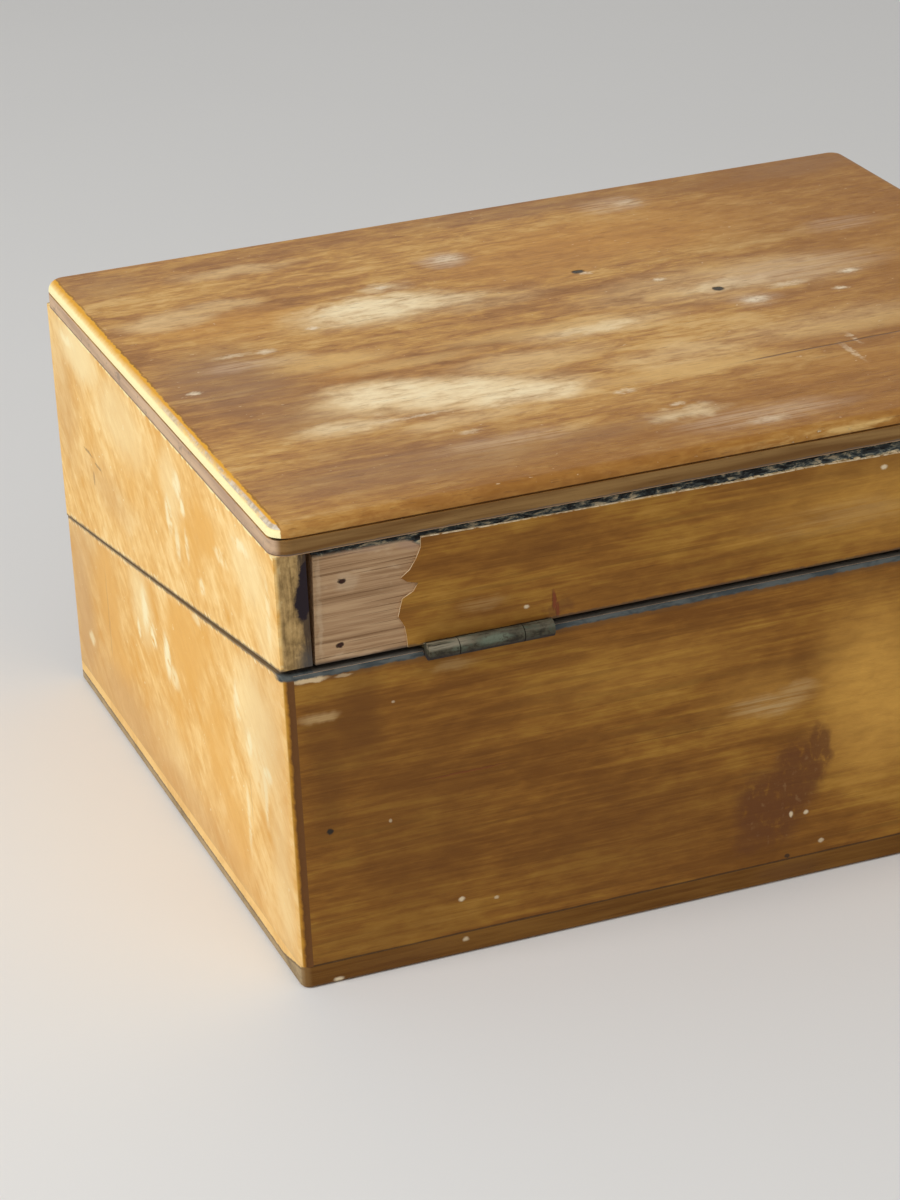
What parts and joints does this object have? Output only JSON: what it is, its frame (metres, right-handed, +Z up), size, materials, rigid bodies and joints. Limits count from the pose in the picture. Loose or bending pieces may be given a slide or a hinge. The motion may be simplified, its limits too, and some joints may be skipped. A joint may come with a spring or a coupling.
{
  "type": "wooden microscope case",
  "caption": "Worn veneered wooden instrument case cut on a slope into a base and a lid, with rear butt hinges, swing hooks and fitted saddles and rack inside.",
  "frame": {"origin": "centre of the underside, on the surface that the case stands on", "axes": "+X towards the right end (the end face in the picture), +Y towards the hinged rear, +Z up"},
  "size_m": [0.304, 0.2589, 0.152],
  "materials": {
    "bottom_wood": "stained and worn",
    "end_wood": "pale, worn varnish with orange stains",
    "bare_wood": "bare",
    "face_veneer": "stained veneer, worn varnish",
    "panel_wood": "stained, bleached and scuffed",
    "patinated_brass": "verdigris patina",
    "hook_brass": "tarnished"
  },
  "bodies": {
    "base": {"base_bottom": "bottom_wood", "base_front_wall": "bare_wood", "base_rear_wall": "bare_wood", "base_left_wall": "end_wood", "base_right_wall": "end_wood", "base_front_veneer": "face_veneer", "base_rear_veneer": "face_veneer", "divider": "bare_wood", "accessory_rack": "bare_wood", "left_saddle": "bare_wood", "right_saddle": "bare_wood", "foot_rails": "bare_wood", "left_hinge_base_leaf": "patinated_brass", "right_hinge_base_leaf": "patinated_brass", "left_hinge_pin": "patinated_brass", "right_hinge_pin": "patinated_brass", "base_hinge_screws": "patinated_brass", "hook_pivot_screws": "hook_brass"},
    "lid": {"lid_panel": "panel_wood", "lid_front_wall": "bare_wood", "lid_rear_wall": "bare_wood", "lid_left_wall": "end_wood", "lid_right_wall": "end_wood", "lid_front_veneer": "face_veneer", "lid_rear_veneer": "face_veneer", "lid_corner_blocks": "bare_wood", "left_hinge_lid_leaf": "patinated_brass", "right_hinge_lid_leaf": "patinated_brass", "lid_hinge_screws": "patinated_brass", "hook_studs": "hook_brass"},
    "hook_left": {"left_hook": "hook_brass"},
    "hook_right": {"right_hook": "hook_brass"}
  },
  "joints": [
    {"name": "lid_hinge", "type": "hinge", "parent": "base", "child": "lid", "pos_m": [0, 0.127, 0.10482], "axis": [-1, 0, 0], "range_deg": [0, 180]},
    {"name": "left_hook_pivot", "type": "hinge", "parent": "base", "child": "hook_left", "pos_m": [-0.09, -0.1262, 0.049], "axis": [0, 1, 0], "range_deg": [0, 192]},
    {"name": "right_hook_pivot", "type": "hinge", "parent": "base", "child": "hook_right", "pos_m": [0.09, -0.1262, 0.049], "axis": [0, -1, 0], "range_deg": [0, 192]}
  ]
}
